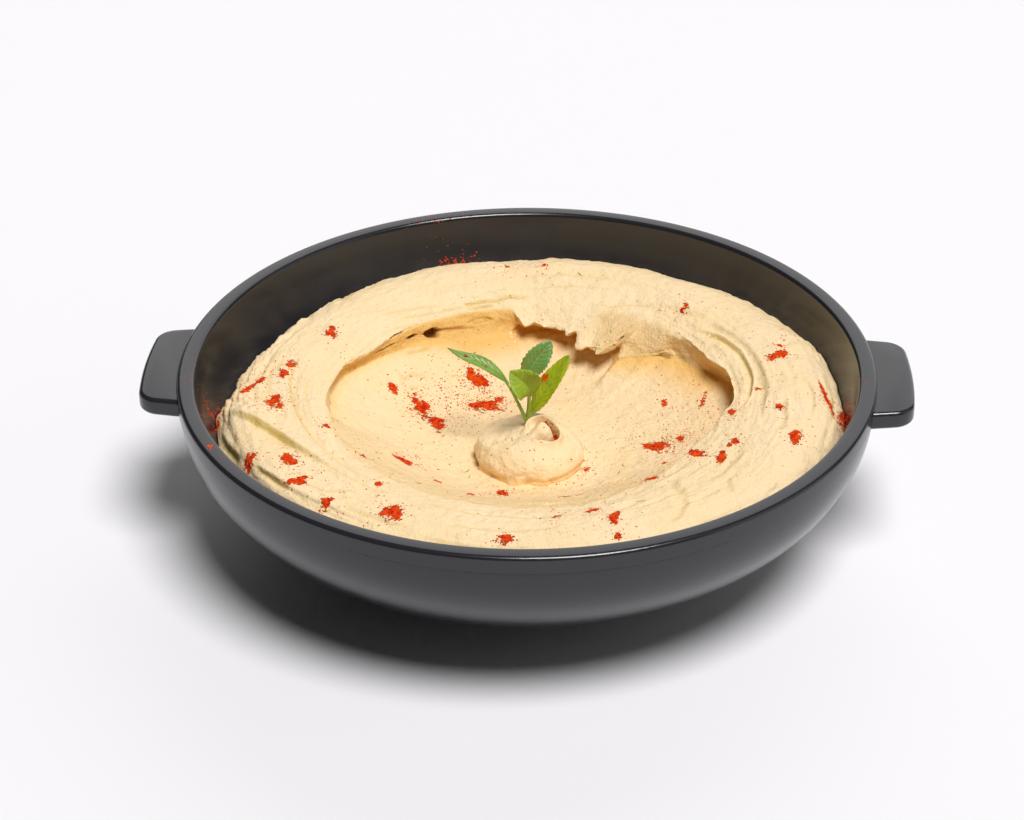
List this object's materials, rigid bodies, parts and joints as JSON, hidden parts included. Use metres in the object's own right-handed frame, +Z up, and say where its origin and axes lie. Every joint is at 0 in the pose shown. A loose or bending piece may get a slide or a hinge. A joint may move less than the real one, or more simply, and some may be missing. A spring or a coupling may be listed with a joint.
{
  "type": "bowl of hummus",
  "caption": "Round black bowl with lug handles at its sides, filled with hummus swept into a ring around a torn-edged well, where a curled dollop holds a sprig of mint.",
  "frame": {"origin": "centre of the bowl's foot ring, on the surface that it stands on", "axes": "+Z up along the bowl's axis, X through the two lug handles, -Y towards the diner"},
  "size_m": [0.1996, 0.1806, 0.0549],
  "materials": {
    "black_melamine": "smooth satin black melamine, solid colour",
    "hummus": "thick cream-coloured chickpea paste, satin, with fine spoon marks, specks and paprika",
    "mint_leaf": "fresh green mint leaves and stems, satin"
  },
  "bodies": {
    "root": {"bowl": "black_melamine", "hummus": "hummus", "hummus_dollop": "hummus", "mint_sprig": "mint_leaf"}
  },
  "joints": []
}
